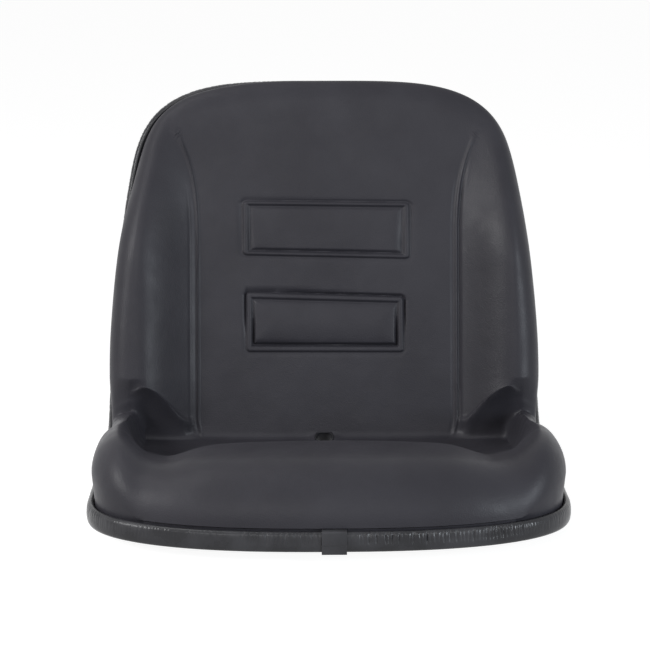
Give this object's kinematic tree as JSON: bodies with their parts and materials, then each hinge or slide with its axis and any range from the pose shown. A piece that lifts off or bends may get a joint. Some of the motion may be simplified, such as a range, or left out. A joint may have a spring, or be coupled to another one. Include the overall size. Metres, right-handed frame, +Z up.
{
  "type": "tractor seat",
  "caption": "Bucket seat for a small tractor: moulded black cushion with side bolsters, bonded into a pressed steel pan with an edge trim and bolt holes.",
  "frame": {"origin": "middle of the four bolt holes, on the underside of the pan's flat floor, which is also the face it rests on", "axes": "+X to the right seen from the front, +Y towards the back, +Z up"},
  "size_m": [0.4816, 0.5101, 0.4027],
  "materials": {
    "pan_paint": "black paint on pressed steel sheet, satin",
    "cushion_skin": "moulded black vinyl skin over foam, satin, fine grain",
    "trim_skin": "black gathered plastic edge trim, matt",
    "joiner_plastic": "black plastic clip, satin",
    "eyelet_plastic": "black moulded plastic",
    "nut_zinc": "zinc plated steel"
  },
  "bodies": {
    "root": {"seat_pan": "pan_paint", "cushion": "cushion_skin", "edge_trim": "trim_skin", "trim_joiner": "joiner_plastic", "drain_eyelet": "eyelet_plastic", "weld_nuts": "nut_zinc"}
  },
  "joints": []
}
